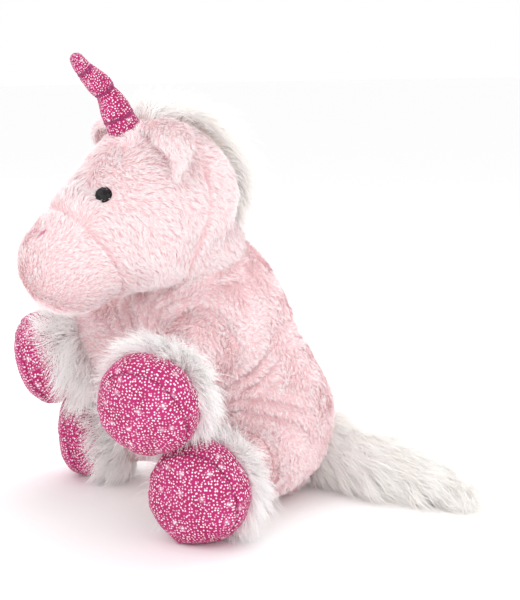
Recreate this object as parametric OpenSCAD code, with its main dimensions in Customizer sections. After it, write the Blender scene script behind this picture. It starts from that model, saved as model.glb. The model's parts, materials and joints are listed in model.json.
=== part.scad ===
// Plush unicorn, sitting up: a stuffed toy in separate sewn pieces.
// Origin: centre of the flat seat, on the surface it rests on. +Z is up, the toy faces -Y.

/* [Torso] */
// Radius of the seat, pile included
hip_r = 67; // [64:0.5:69]
// Height of the centre of the seat's round part
hip_z = 56; // [54:0.5:58]
// Radius of the chest, pile included
chest_r = 58; // [56:0.5:60]
// How far the chest leans forward of the seat
chest_lean = 38; // [36:1:40]
// Height of the centre of the chest
chest_z = 150; // [148:1:152]
// Radius of the seam where the neck meets the chest
neck_r = 44; // [42:0.5:45]

/* [Head] */
// Radius of the skull
skull_r = 58; // [56:0.5:60]
// Radius of the muzzle
muzzle_r = 36; // [33:0.5:38]
// Distance from the centre of the skull to the centre of the muzzle
muzzle_reach = 81; // [78:1:84]
// How far the muzzle points down
muzzle_droop = 30.4; // [26:0.2:34]
// Diameter of a safety eye
eye_d = 12; // [10:0.5:14]

/* [Horn] */
// Radius of the horn at its foot
horn_r = 12; // [11:0.5:13]
// Radius of the horn's rounded tip
horn_tip_r = 5.2; // [4.6:0.2:5.6]

/* [Limbs] */
// Radius of the ball that the limb turns on
root_r = 27; // [26:0.5:28]
// Radius of the limb at its cuff
wrist_r = 26; // [24:0.5:26.5]
// Radius of a hoof
hoof_r = 36; // [34:0.5:36]
// Distance from the limb's ball to the middle of the hoof
limb_reach = 81; // [80:0.5:82]

/* [Tail] */
// Radius of the tail at its thickest
tail_r = 17; // [14:0.5:17]
// Length of the tail from its seam
tail_l = 130; // [110:1:135]

/* [Fabric] */
// Thickness of plush with its pile pressed flat
plush_t = 5; // [4:0.5:6]
// Thickness of the padded foil cloth on hooves and horn
foil_t = 1.6; // [1.2:0.2:2]
// Clearance between pieces that move on each other
play = 0.4; // [0.3:0.1:0.6]

/* [Hidden] */

$fn = 64;
slack = 0.2;                 // air between a skin and what fills it
arc_steps = 9;               // straight bands in each round end
hip = [0, 0, hip_z];
chest = [0, -chest_lean, chest_z];
neck_rise = 34;              // from the centre of the chest, along the torso's axis
chin_room = 5;               // extra hollow in the chest's top, for the chin to dip into
neck = chest + neck_rise * (chest - hip) / norm(chest - hip);
skull = [0, -78, 231];
tail_root = [20, 62, 18];
tail_yaw = 116;              // the tail lies round to the toy's left
tail_pitch = 90.5;
tail_root_r = 12;
tail_room = 1.5;             // air round the tail's root
tail_tip_r = 8;
tail_belly = 45;             // from the root to the thickest part

limb_cut = [-28, -16, 16];   // ends of the plush, the cuff and the band, from the middle of the hoof
shoulder = [46, -67, 128];
shoulder_yaw = 33.9;
shoulder_pitch = 109;
haunch = [48, -29.5, 41];
haunch_yaw = 35.3;
haunch_pitch = 93.2;
lift = 20;                   // how far a front leg swings up
spread = 25;                 // how far a hind leg swings outward
socket_room = 1;             // air round the ball of a limb
stuffing_gap = 4;            // air between the body's stuffing and the ball of a limb

muzzle_seam = 66;            // from the centre of the skull to the muzzle's seam
seat_panel_r = 26;
seat_panel_t = 3;
pouch_r = 22;
pouch_h = 20;
pouch_place = [0, 14, 6];    // under the belly's stuffing, behind the legs
pouch_t = 1;
washer_r = 8;
washer_t = 1.6;
stem_r = 2;
stem_l = 9;
eye_place = [30.2, -134.5, 240];
eye_turn = [52, 57];         // tilt from upright, then turn about Z
nostril_place = [8.5, -173.5, 212.8];
nostril_turn = [48, 18];
mane_w = 26;
mane_h = 11;
mane_arc = [-8, 103];        // from the nape up and over to the horn
horn_legs = [33.5, 20.5, 8]; // from the foot to each waist and to the tip's ball
horn_tilt = [27, 50, 35];    // how far each leg leans forward
horn_sink = 2.5;             // depth of the foot's centre under the crown
thread_r = 0.7;
foot_ring = 12;              // from the horn's foot to its first ring of thread
ear_root_r = 3.5;
ear_place = [27, -91, 283];
ear_tilt = 29;               // the ear's foot leans out from the crown
ear_skin_r = 25.4;
ear_t = 6;
ear_curl = [20, -10];        // centre of the ear's curl, out along and above its foot
ear_drop = 3;                // how far the tip hangs below the middle of the curl
ear_len = 50;
ear_w = 31;
lining_t = 1.6;

pink = "#f7d3d5";
white = "#f6f0ec";
foil = "#c2408f";
stuffing = "#f4f4ef";

// Half outline of two round ends joined by a straight taper, from the bottom up
function pear_outline(r1, r2, d) =
    let (lean = asin((r1 - r2) / d))
    concat(
        [for (i = [0:arc_steps]) let (a = -90 + (lean + 90) * i / arc_steps)
            [i == 0 ? 0 : r1 * cos(a), r1 * sin(a)]],
        [for (i = [0:arc_steps]) let (a = lean + (90 - lean) * i / arc_steps)
            [i == arc_steps ? 0 : r2 * cos(a), d + r2 * sin(a)]]);

// Half outline of a whole limb: ball, leg, wrist and hoof, drawn in by inset
function limb_outline(inset) =
    concat(
        [for (i = [0:arc_steps]) let (a = -90 + 100 * i / arc_steps)
            [i == 0 ? 0 : (root_r - inset) * cos(a), (root_r - inset) * sin(a)]],
        [[wrist_r - inset, limb_reach + limb_cut[0]], [wrist_r + 1.5 - inset, limb_reach + limb_cut[1]]],
        [for (i = [0:arc_steps]) let (a = -52 + 104 * i / arc_steps)
            [(hoof_r - 14) + (14 - inset) * cos(a), limb_reach + (18 - inset) * sin(a)]],
        [for (i = [1:4]) let (a = 52 + 38 * i / 4)
            [i == 4 ? 0 : (hoof_r - 5 - inset) * cos(a) / cos(52), limb_reach + 22 - inset
                - 7 * (1 - sin(a)) / (1 - sin(52))]]);

module pear(r1, r2, d) {
    rotate_extrude() polygon(pear_outline(r1, r2, d));
}

module mirrored(side) {
    mirror([side == "right" ? 1 : 0, 0, 0]) children();
}

// Local Z is turned down from upright, then about Z towards the toy's left
module aim(place, yaw, pitch) {
    translate(place) rotate([0, 0, yaw]) rotate([pitch, 0, 0]) children();
}

// Turns local Z along a step that lies in the toy's middle plane
module facing(place, step) {
    aim(place, 0, atan2(-step[1], step[2])) children();
}

// Stands the torso's own axis on the seat, leaning forward
module torso_frame() {
    facing(hip, chest - hip) children();
}

// Half outline of the torso between two insets, open for the neck's ball
module torso_profile(outer, inner) {
    rise = norm(chest - hip);
    intersection() {
        difference() {
            polygon(pear_outline(hip_r - outer, chest_r - outer, rise));
            if (inner > 0) polygon(pear_outline(hip_r - inner, chest_r - inner, rise));
            translate([0, rise + neck_rise]) circle(r = neck_r + chin_room);
        }
        translate([0, -200]) square([200, 600]);
    }
}

module above(height) {
    translate([-150, -150, height]) cube([300, 300, 300]);
}

// Frames at the limbs' balls on one side, in the middle of each limb's swing
module mid_swing(side) {
    mirrored(side) {
        translate(shoulder) rotate([-lift / 2, 0, 0])
            aim([0, 0, 0], shoulder_yaw, shoulder_pitch) children();
        translate(haunch) rotate([0, 0, spread / 2])
            aim([0, 0, 0], haunch_yaw, haunch_pitch) children();
    }
}

// A ball's hollow with a flared mouth, wide enough for a limb at both ends of its swing
module limb_socket() {
    mouth_r = root_r + socket_room / 2;
    mouth_l = 70;
    sphere(r = root_r + socket_room);
    cylinder(r1 = mouth_r, r2 = mouth_r + mouth_l * tan(spread / 2), h = mouth_l);
}

module tail_socket() {
    translate(tail_root) sphere(r = tail_root_r + tail_room);
}

// The skin is open at the seat, and where the neck, limbs and tail are sewn in
module body_plush() {
    color(pink) difference() {
        intersection() {
            torso_frame() rotate_extrude() torso_profile(0, plush_t);
            above(0);
        }
        for (side = ["left", "right"]) mid_swing(side) limb_socket();
        tail_socket();
    }
}

// Open underneath, where the pouch of pellets goes in
module body_filling() {
    color(stuffing) difference() {
        intersection() {
            torso_frame() rotate_extrude() torso_profile(plush_t + slack, 0);
            above(seat_panel_t + slack);
        }
        for (side = ["left", "right"], place = [shoulder, haunch]) mirrored(side)
            translate(place - [root_r + stuffing_gap, 0, 0]) rotate([0, 90, 0])
                cylinder(r = root_r + stuffing_gap, h = 100);
        tail_socket();
        translate([pouch_place[0], pouch_place[1], 0])
            cylinder(r = pouch_r + slack, h = pouch_place[2] + pouch_h + slack);
    }
}

module seat_panel() {
    color(pink) cylinder(r = seat_panel_r, h = seat_panel_t);
}

// A lens: two ball caps face to face
module pouch_shape(inset) {
    half = pouch_h / 2;
    ball = (pouch_r * pouch_r + half * half) / (2 * half);
    translate(pouch_place + [0, 0, half]) intersection() {
        translate([0, 0, half - ball]) sphere(r = ball - inset);
        translate([0, 0, ball - half]) sphere(r = ball - inset);
    }
}

module pellet_pouch() {
    color("white") difference() {
        pouch_shape(0);
        pouch_shape(pouch_t);
    }
}

module pellets() {
    color("lightgray") pouch_shape(pouch_t + slack);
}

module neck_filling() {
    color(stuffing) translate(neck) sphere(r = neck_r - 18);
}

module skull_frame() {
    aim(skull, 0, 90 + muzzle_droop) children();
}

module face_shape(inset) {
    skull_frame() pear(skull_r - inset, muzzle_r - inset, muzzle_reach);
}

module head_shape(inset) {
    face_shape(inset);
    translate(neck) sphere(r = neck_r - inset);
}

// Everything in front of the muzzle's seam
module muzzle_side() {
    skull_frame() translate([0, 0, muzzle_seam]) cylinder(r = 100, h = 100);
}

module eye_frame(side) {
    mirrored(side) aim(eye_place, eye_turn[1], eye_turn[0]) children();
}

module ear_frame(side) {
    mirrored(side) translate(ear_place) rotate([0, ear_tilt, 0]) children();
}

module head_holes() {
    for (side = ["left", "right"]) {
        eye_frame(side) translate([0, 0, -stem_l - 2]) cylinder(r = stem_r, h = stem_l + 4);
        eye_frame(side) translate([0, 0, -1]) cylinder(r = eye_d / 2 + 0.1, h = 20);
        ear_frame(side) rotate([90, 0, 0])
            cylinder(r = ear_root_r + play, h = 60, center = true);
        nostril_frame(side) nostril_stitch(0.05);
    }
}

module head_plush() {
    color(pink) difference() {
        head_shape(0);
        head_shape(plush_t);
        muzzle_side();
        head_holes();
    }
}

module muzzle_plush() {
    color(pink) difference() {
        intersection() {
            face_shape(0);
            muzzle_side();
        }
        face_shape(plush_t);
        head_holes();
    }
}

module head_filling() {
    color(stuffing) difference() {
        head_shape(plush_t + slack);
        translate(neck) sphere(r = neck_r - 18 + play);
        for (side = ["left", "right"]) eye_frame(side)
            translate([0, 0, -stem_l - 2]) cylinder(r = washer_r + slack, h = stem_l + 4);
        for (side = ["left", "right"]) ear_frame(side) rotate([90, 0, 0])
            cylinder(r = ear_root_r + play + 1, h = 60, center = true);
    }
}

module nostril_frame(side) {
    mirrored(side) aim(nostril_place, nostril_turn[1], nostril_turn[0]) children();
}

module nostril_stitch(extra) {
    rotate([90, 0, 0]) cylinder(r = 1 + extra, h = 7 + 2 * extra, center = true);
}

module nostril_stitches() {
    color("#d98aa0") for (side = ["left", "right"]) nostril_frame(side) nostril_stitch(0);
}

// A domed cap on a stem that passes through the skin
module eye(side) {
    color("black") eye_frame(side) {
        intersection() {
            translate([0, 0, -2.6]) sphere(r = 6.6);
            translate([0, 0, -0.9]) cylinder(r = eye_d / 2, h = 12);
        }
        translate([0, 0, -stem_l]) cylinder(r = stem_r - 0.1, h = stem_l);
    }
}

module eye_washer(side) {
    color("white") eye_frame(side) translate([0, 0, -plush_t - washer_t - 1.8]) difference() {
        cylinder(r = washer_r, h = washer_t);
        translate([0, 0, -1]) cylinder(r = stem_r, h = washer_t + 2);
    }
}

// A strip of long pile along the crown and nape
module mane() {
    color(white) difference() {
        translate(skull) rotate([90, 0, 90]) rotate([0, 0, mane_arc[0]])
            rotate_extrude(angle = mane_arc[1] - mane_arc[0])
                translate([skull_r + slack, -mane_w / 2]) square([mane_h, mane_w]);
        translate(neck) sphere(r = neck_r + slack);
        for (side = ["left", "right"]) ear_frame(side) sphere(r = 17);
    }
}

function forward(tilt) = [0, -sin(tilt), cos(tilt)];

function horn_joint(i) =
    i == 0 ? skull + (skull_r - horn_sink) * forward(horn_tilt[0])
    : horn_joint(i - 1) + horn_legs[i - 1] * forward(horn_tilt[i - 1]);

function along(leg, d) = horn_joint(leg) + d * forward(horn_tilt[leg]);

// Each bulge: the centres of its two round ends, and their radii
function bulge(i) = [
    [along(0, 0), along(0, 29.5), horn_r, 7.6],
    [along(1, 5), along(1, 18.5), 8.8, 6.4],
    [along(2, 3), along(2, 8.5), 5.8, horn_tip_r]][i];

module horn_shape(inset) {
    for (i = [0:2]) {
        step = bulge(i)[1] - bulge(i)[0];
        facing(bulge(i)[0], step) pear(bulge(i)[2] - inset, bulge(i)[3] - inset, norm(step));
    }
}

module thread_ring(radius) {
    rotate_extrude() translate([radius + 0.05, 0]) circle(r = thread_r, $fn = 24);
}

// Thread near the foot, and at the waist where each two bulges meet
module horn_thread() {
    foot = bulge(0);
    taper = asin((foot[2] - foot[3]) / norm(foot[1] - foot[0]));
    color("#d880b8") {
        facing(along(0, foot_ring), forward(horn_tilt[0]))
            thread_ring((foot[2] + thread_r - foot_ring * sin(taper)) / cos(taper));
        for (i = [0:1]) {
            low = bulge(i);
            high = bulge(i + 1);
            step = high[0] - low[1];
            gap = norm(step);
            waist = (gap * gap + low[3] * low[3] - high[2] * high[2]) / (2 * gap);
            facing(low[1] + step * waist / gap, step)
                thread_ring(max(sqrt(pow(low[3] + thread_r, 2) - waist * waist),
                                sqrt(pow(high[2] + thread_r, 2) - pow(gap - waist, 2))));
        }
    }
}

module horn_cover() {
    color(foil) difference() {
        horn_shape(0);
        horn_shape(foil_t);
        translate(skull) sphere(r = skull_r);
    }
}

module horn_filling() {
    color(stuffing) difference() {
        horn_shape(foil_t + slack);
        translate(skull) sphere(r = skull_r);
    }
}

module ear_leaf(r_out, r_in, length, width) {
    bow = (length * length / 4 + width * width / 4) / width;
    translate([ear_curl[0], 0, ear_curl[1]]) intersection() {
        difference() {
            sphere(r = r_out);
            sphere(r = r_in);
        }
        translate([0, 0, -ear_drop]) linear_extrude(60) intersection() {
            translate([0, bow - width / 2]) circle(r = bow);
            translate([0, width / 2 - bow]) circle(r = bow);
        }
    }
}

module ear(side) {
    color(pink) difference() {
        ear_frame(side) {
            intersection() {
                ear_leaf(ear_skin_r, ear_skin_r - ear_t, ear_len, ear_w);
                translate([-ear_root_r + 1, -50, -50]) cube(100);
            }
            rotate([90, 0, 0]) cylinder(r = ear_root_r, h = 22, center = true);
        }
        difference() {
            translate(skull) sphere(r = skull_r + 0.6);
            ear_frame(side) rotate([90, 0, 0])
                cylinder(r = ear_root_r, h = 22, center = true);
        }
    }
}

module ear_lining(side) {
    inner = ear_skin_r - ear_t - 0.05;
    color(white) difference() {
        ear_frame(side) ear_leaf(inner, inner - lining_t, ear_len - 12, ear_w - 7);
        ear_frame(side) rotate([90, 0, 0]) cylinder(r = ear_root_r + 1, h = 30, center = true);
        translate(skull) sphere(r = skull_r + 0.6);
    }
}

module limb_frame(limb) {
    front = limb == "left_front" || limb == "right_front";
    left = limb == "left_front" || limb == "left_hind";
    mirrored(left ? "left" : "right")
        aim(front ? shoulder : haunch, front ? shoulder_yaw : haunch_yaw,
            front ? shoulder_pitch : haunch_pitch)
            children();
}

// The skin of a limb between two heights along it
module limb_skin(low, high) {
    intersection() {
        difference() {
            rotate_extrude() polygon(limb_outline(0));
            rotate_extrude() polygon(limb_outline(plush_t));
        }
        translate([0, 0, low]) cylinder(r = 60, h = high - low);
    }
}

module leg_plush(limb) {
    color(pink) limb_frame(limb) limb_skin(-60, limb_reach + limb_cut[0]);
}

module leg_filling(limb) {
    color(stuffing) limb_frame(limb) rotate_extrude() polygon(limb_outline(plush_t + slack));
}

module cuff(limb) {
    color(white) limb_frame(limb) limb_skin(limb_reach + limb_cut[0], limb_reach + limb_cut[1]);
}

module hoof_band(limb) {
    color(foil) limb_frame(limb) limb_skin(limb_reach + limb_cut[1], limb_reach + limb_cut[2]);
}

module hoof_sole(limb) {
    color(foil) limb_frame(limb) limb_skin(limb_reach + limb_cut[2], limb_reach + hoof_r);
}

// A plump tail, thin at its seam, that tapers to the tip
module tail_shape(inset) {
    aim(tail_root, tail_yaw, tail_pitch) {
        pear(tail_root_r - inset, tail_r - inset, tail_belly);
        translate([0, 0, tail_belly])
            pear(tail_r - inset - 0.01, tail_tip_r - inset, tail_l - tail_belly - tail_tip_r);
    }
}

module tail_cover() {
    color(white) difference() {
        tail_shape(0);
        tail_shape(plush_t);
    }
}

module tail_filling() {
    color(stuffing) tail_shape(plush_t + slack);
}

body_plush();
body_filling();
seat_panel();
pellet_pouch();
pellets();
neck_filling();
head_plush();
muzzle_plush();
head_filling();
nostril_stitches();
mane();
horn_cover();
horn_filling();
horn_thread();
for (side = ["left", "right"]) {
    eye(side);
    eye_washer(side);
    ear(side);
    ear_lining(side);
}
for (limb = ["left_front", "right_front", "left_hind", "right_hind"]) {
    leg_plush(limb);
    leg_filling(limb);
    cuff(limb);
    hoof_band(limb);
    hoof_sole(limb);
}
tail_cover();
tail_filling();
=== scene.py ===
import json
import math
import bpy
import numpy as np
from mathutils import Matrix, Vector


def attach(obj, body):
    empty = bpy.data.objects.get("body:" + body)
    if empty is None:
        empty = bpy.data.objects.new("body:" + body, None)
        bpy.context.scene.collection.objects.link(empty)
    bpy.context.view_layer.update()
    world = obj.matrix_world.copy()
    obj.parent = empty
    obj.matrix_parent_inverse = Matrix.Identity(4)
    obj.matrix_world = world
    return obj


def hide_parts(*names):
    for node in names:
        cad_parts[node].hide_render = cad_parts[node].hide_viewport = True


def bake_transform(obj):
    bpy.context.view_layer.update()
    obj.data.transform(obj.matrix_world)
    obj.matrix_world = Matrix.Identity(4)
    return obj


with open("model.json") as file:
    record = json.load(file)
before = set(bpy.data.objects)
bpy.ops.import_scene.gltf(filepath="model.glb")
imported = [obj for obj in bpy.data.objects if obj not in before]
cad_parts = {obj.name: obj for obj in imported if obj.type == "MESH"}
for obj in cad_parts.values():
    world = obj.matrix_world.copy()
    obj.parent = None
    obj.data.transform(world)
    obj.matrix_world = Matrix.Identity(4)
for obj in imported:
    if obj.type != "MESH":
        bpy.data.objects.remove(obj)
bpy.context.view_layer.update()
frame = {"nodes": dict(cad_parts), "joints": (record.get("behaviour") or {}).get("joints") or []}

# Shapes are worked out in millimetres, and become metres in mesh_object().
MM = 0.001
SIDES = {"left": 1, "right": -1}
# About the most triangles in one piece of pile.
PIECE_LIMIT = 190000


# ---------------------------------------------------------------- the frame's own places

def vec(*values):
    return np.array(values, float)


def unit(v):
    v = np.asarray(v, float)
    return v / np.maximum(np.linalg.norm(v, axis=-1, keepdims=True), 1e-9)


def hinge_place(name):
    """A joint's place, in millimetres."""
    found = [j for j in frame["joints"] if j["name"] == name][0]
    return np.array(found["pos_m"], float) / MM


NECK = hinge_place("head_nod")
HIP = vec(0, 0, 56)
CHEST = vec(0, -38, 150)
TORSO_AXIS = unit(CHEST - HIP)
SKULL = vec(0, -78, 231)
FACE_DROOP = math.radians(30.4)
FACE_AXIS = vec(0, -math.cos(FACE_DROOP), -math.sin(FACE_DROOP))
FACE_UP = vec(0, -math.sin(FACE_DROOP), math.cos(FACE_DROOP))
MUZZLE = SKULL + 81 * FACE_AXIS
MUZZLE_SEAM = 66
EAR_TILT = math.radians(29)
TAIL_ROOT = hinge_place("tail_swing")


def limb_axes(name):
    """Root, direction and two cross directions of a limb."""
    side = 1 if name.startswith("left") else -1
    front = "front" in name
    root = hinge_place(name + ("_leg_lift" if front else "_leg_spread"))
    yaw = math.radians(33.9 if front else 35.3)
    pitch = math.radians(19 if front else 3.2)
    along = vec(side * math.sin(yaw) * math.cos(pitch),
                -math.cos(yaw) * math.cos(pitch), -math.sin(pitch))
    across = unit(np.cross(vec(0, 0, 1), along))
    up = np.cross(along, across)
    return root, along, across, up


LIMBS = {name: limb_axes(name) for name in ("left_front", "right_front", "left_hind", "right_hind")}
# A hoof's middle from its limb's root, its radius, half its thickness, and where its band starts, if 0 is
# the rim and 1 the middle of the sole.
HOOF_REACH, HOOF_R, HOOF_HALF, HOOF_TOP = 80.5, 36.8, 23.0, -0.62


# ---------------------------------------------------------------- noise and solid fields

def noise(p, size, seed):
    """Smooth noise from -1 to 1, with bumps about size across."""
    rng = np.random.default_rng(seed)
    table = rng.uniform(-1, 1, (32, 32, 32))
    q = p / size + 100
    base = np.floor(q).astype(int)
    f = q - base
    f = f * f * (3 - 2 * f)
    total = np.zeros(len(p))
    for dx in (0, 1):
        for dy in (0, 1):
            for dz in (0, 1):
                w = ((f[:, 0] if dx else 1 - f[:, 0]) * (f[:, 1] if dy else 1 - f[:, 1])
                     * (f[:, 2] if dz else 1 - f[:, 2]))
                total += w * table[(base[:, 0] + dx) % 32, (base[:, 1] + dy) % 32,
                                   (base[:, 2] + dz) % 32]
    return total * 1.4


def drift(p, size, seed):
    """Smooth random directions: a noise for each axis."""
    return np.stack([noise(p, size, seed + axis) for axis in range(3)], 1)


def ball(p, centre, radius):
    return np.linalg.norm(p - centre, axis=1) - radius


def egg(p, centre, radii, axes=None):
    """An ellipsoid; the rows of axes are its own directions."""
    q = p - centre
    if axes is not None:
        q = q @ np.array(axes).T
    radii = np.asarray(radii, float)
    k0 = np.linalg.norm(q / radii, axis=1)
    k1 = np.linalg.norm(q / radii ** 2, axis=1)
    return k0 * (k0 - 1) / np.maximum(k1, 1e-6)


def taper(p, a, b, ra, rb):
    """Two balls joined by a straight taper."""
    ab = b - a
    length = np.linalg.norm(ab)
    lean = (ra - rb) / length
    side = math.sqrt(1 - lean * lean)
    q = p - a
    y = q @ ab / length
    x = np.sqrt(np.maximum((q * q).sum(1) - y * y, 0))
    k = y * side - x * lean
    return np.where(k < 0, np.hypot(x, y) - ra,
                    np.where(k > length * side, np.hypot(x, y - length) - rb,
                             x * side + y * lean - ra))


def melt(a, b, k):
    """Union of two fields with a fillet about k wide."""
    h = np.clip(0.5 + 0.5 * (b - a) / k, 0, 1)
    return b * (1 - h) + a * h - k * h * (1 - h)


def cut(a, b, k):
    """What two fields share, with a rounded edge."""
    return -melt(-a, -b, k)


def bump(x, width):
    return np.exp(-(x / width) ** 2)


# ---------------------------------------------------------------- meshes

def neighbours_mean(points, edges):
    total = np.zeros_like(points)
    count = np.zeros(len(points))
    for a, b in ((0, 1), (1, 0)):
        np.add.at(total, edges[:, a], points[edges[:, b]])
        np.add.at(count, edges[:, a], 1)
    return total / np.maximum(count, 1)[:, None]


def slope(field, points, step=0.2):
    """The field's gradient at each point."""
    columns = []
    for axis in range(3):
        d = np.zeros(3)
        d[axis] = step
        columns.append((field(points + d) - field(points - d)) / (2 * step))
    return np.stack(columns, 1)


def onto(field, points, times=3):
    """The points moved to where the field is 0."""
    for _ in range(times):
        g = slope(field, points)
        f = field(points)
        points = points - np.clip(f, -2, 2)[:, None] * g / np.maximum((g * g).sum(1), 0.2)[:, None]
    return points


def skin_mesh(field, low, high, step):
    """Points and quads of the closed surface where field is 0 (surface nets, then relaxed)."""
    axes = [np.arange(low[i] - 2 * step, high[i] + 2 * step, step) for i in range(3)]
    grid = np.stack(np.meshgrid(*axes, indexing="ij"), -1)
    inside = np.zeros(grid.shape[:3], bool)
    core = grid[1:-1, 1:-1, 1:-1]
    inside[1:-1, 1:-1, 1:-1] = field(core.reshape(-1, 3)).reshape(core.shape[:3]) < 0
    n = np.array(inside.shape)
    count = sum(inside[i:n[0] - 1 + i, j:n[1] - 1 + j, k:n[2] - 1 + k].astype(int)
                for i in (0, 1) for j in (0, 1) for k in (0, 1))
    cell = (count > 0) & (count < 8)
    index = np.full(cell.shape, -1)
    index[cell] = np.arange(cell.sum())
    start = np.array([a[0] for a in axes])
    points = np.argwhere(cell) * step + start + step / 2
    quads = []
    for axis in range(3):
        u, v = np.eye(3, dtype=int)[(axis + 1) % 3], np.eye(3, dtype=int)[(axis + 2) % 3]
        first = np.take(inside, range(n[axis] - 1), axis)
        second = np.take(inside, range(1, n[axis]), axis)
        e = np.argwhere(first != second)
        out = first[tuple(e.T)]
        quad = np.stack([index[tuple((e - d).T)] for d in (u + v, v, 0 * u, u)], 1)
        quads.append(np.where(out[:, None], quad, quad[:, ::-1]))
    quads = np.concatenate(quads)
    edges = np.unique(np.sort(np.concatenate(
        [quads[:, [a, (a + 1) % 4]] for a in range(4)]), 1), axis=0)
    for _ in range(7):
        points = points + 0.6 * (neighbours_mean(points, edges) - points)
        points = onto(field, points, 1)
    return onto(field, points, 3), quads


def grid_quads(rows, columns, closed_rows=False, closed_columns=True):
    """Quads between neighbouring points of a grid, which may close on itself either way."""
    i = np.arange(rows if closed_rows else rows - 1)[:, None]
    j = np.arange(columns if closed_columns else columns - 1)[None, :]
    here, after, beside = i * columns, (i + 1) % rows * columns, (j + 1) % columns
    return np.stack([here + j, here + beside, after + beside, after + j], -1).reshape(-1, 4)


def part_of(points, quads, chosen):
    """The chosen faces of a surface, with only their own points."""
    used, again = np.unique(quads[chosen], return_inverse=True)
    return points[used], again.reshape(-1, 4)


def mesh_object(name, points, faces):
    """An object from points in millimetres and faces, which may be an array or a list of them."""
    mesh = bpy.data.meshes.new(name)
    points = np.asarray(points, float) * MM
    groups = faces if isinstance(faces, list) else [faces]
    groups = [g for g in groups if len(g)]
    loops = np.concatenate([g.ravel() for g in groups]).astype(np.int32)
    sizes = np.concatenate([np.full(len(g), g.shape[1]) for g in groups])
    mesh.vertices.add(len(points))
    mesh.vertices.foreach_set("co", points.astype(np.float32).ravel())
    mesh.loops.add(len(loops))
    mesh.loops.foreach_set("vertex_index", loops)
    mesh.polygons.add(len(sizes))
    mesh.polygons.foreach_set("loop_start", np.concatenate([[0], np.cumsum(sizes)[:-1]]).astype(np.int32))
    mesh.update(calc_edges=True)
    mesh.polygons.foreach_set("use_smooth", np.full(len(sizes), True))
    obj = bpy.data.objects.new(name, mesh)
    bpy.context.scene.collection.objects.link(obj)
    return obj


def paint(obj, *materials):
    for m in materials:
        obj.data.materials.append(m)
    return obj


def point_normals(points, quads):
    """Each point's normal, the surface's triangles, and their areas."""
    tri = np.concatenate([quads[:, [0, 1, 2]], quads[:, [0, 2, 3]]]) if quads.shape[1] == 4 else quads
    a, b, c = points[tri[:, 0]], points[tri[:, 1]], points[tri[:, 2]]
    face = np.cross(b - a, c - a)
    normals = np.zeros_like(points)
    for corner in range(3):
        np.add.at(normals, tri[:, corner], face)
    return unit(normals), tri, np.linalg.norm(face, axis=1) / 2


# ---------------------------------------------------------------- materials

def principled(name, colour, roughness, sheen=0.0):
    m = bpy.data.materials.new(name)
    m.use_nodes = True
    s = m.node_tree.nodes["Principled BSDF"]
    s.inputs["Base Color"].default_value = (*colour, 1)
    s.inputs["Roughness"].default_value = roughness
    s.inputs["Sheen Weight"].default_value = sheen
    s.inputs["Sheen Roughness"].default_value = 0.5
    s.inputs["Specular IOR Level"].default_value = 0.25
    return m


def shades(name, *colours):
    return [principled("%s_%d" % (name, i), c, 0.8, 0.3) for i, c in enumerate(colours)]


# The first colour of each set is the deepest: fur() draws every strand's root in it, as painted shade at the
# base of the pile.
PINK_SHADES = shades("pink_pile", (0.92, 0.71, 0.73), (0.955, 0.855, 0.862), (0.965, 0.90, 0.905),
                     (0.97, 0.93, 0.935), (0.945, 0.82, 0.83))
WHITE_SHADES = shades("white_pile", (0.93, 0.88, 0.87), (0.96, 0.94, 0.935), (0.98, 0.97, 0.965),
                      (0.985, 0.98, 0.98), (0.95, 0.92, 0.915))
CREAM_SHADES = shades("cream_pile", (0.92, 0.87, 0.83), (0.96, 0.94, 0.915), (0.975, 0.96, 0.945),
                      (0.98, 0.975, 0.965), (0.945, 0.915, 0.88))


class Nodes:
    """Short calls for building one material's nodes."""

    def __init__(self, material):
        self.tree = material.node_tree
        self.shader = self.tree.nodes["Principled BSDF"]

    def add(self, kind, inputs=(), **settings):
        node = self.tree.nodes.new(kind)
        for key, value in settings.items():
            setattr(node, key, value)
        for key, value in dict(inputs).items():
            if isinstance(value, bpy.types.NodeSocket):
                self.tree.links.new(value, node.inputs[key])
            else:
                node.inputs[key].default_value = value
        return node

    def math(self, operation, a, b=0.0):
        return self.add("ShaderNodeMath", {0: a, 1: b}, operation=operation).outputs[0]

    def range(self, value, a, b, c=0.0, d=1.0):
        return self.add("ShaderNodeMapRange",
                        {"Value": value, "From Min": a, "From Max": b, "To Min": c, "To Max": d}).outputs[0]

    def mix(self, factor, a, b):
        """A mix of two colours."""
        return self.add("ShaderNodeMix", {0: factor, 6: a, 7: b}, data_type="RGBA").outputs[2]

    def vector(self, operation, a, b=(0.0, 0.0, 0.0)):
        return self.add("ShaderNodeVectorMath", {0: a, 1: b}, operation=operation)

    def place(self):
        return self.add("ShaderNodeTexCoord").outputs["Object"]

    def noise(self, vector, scale, detail, **settings):
        return self.add("ShaderNodeTexNoise", {"Vector": vector, "Scale": scale, "Detail": detail},
                        **settings).outputs["Fac"]

    def cells(self, vector, size, **inputs):
        """Flat cells of about this size."""
        return self.add("ShaderNodeTexVoronoi", {"Vector": vector, "Scale": 1 / size, **inputs},
                        voronoi_dimensions="2D")

    def link(self, output, name):
        self.tree.links.new(output, self.shader.inputs[name])

    def bump(self, height, strength, distance):
        node = self.add("ShaderNodeBump", {"Height": height, "Strength": strength, "Distance": distance})
        self.link(node.outputs[0], "Normal")


def cloth_backing(name, deep, pale, size):
    """Knitted backing under the pile: fine loops, with soft patches of colour."""
    m = principled(name, pale, 0.9, 0.4)
    n = Nodes(m)
    place = n.place()
    patches = n.noise(place, 60.0, 4.0)
    loops = n.add("ShaderNodeTexVoronoi", {"Vector": place, "Scale": 1 / (size * MM)}).outputs["Distance"]
    mixed = n.math("MULTIPLY", patches, n.range(loops, 0.0, 0.8, 1.0, 0.4))
    n.link(n.mix(n.range(mixed, 0.15, 0.65), (*deep, 1), (*pale, 1)), "Base Color")
    n.bump(loops, 0.6, size * MM)
    return m


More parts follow.
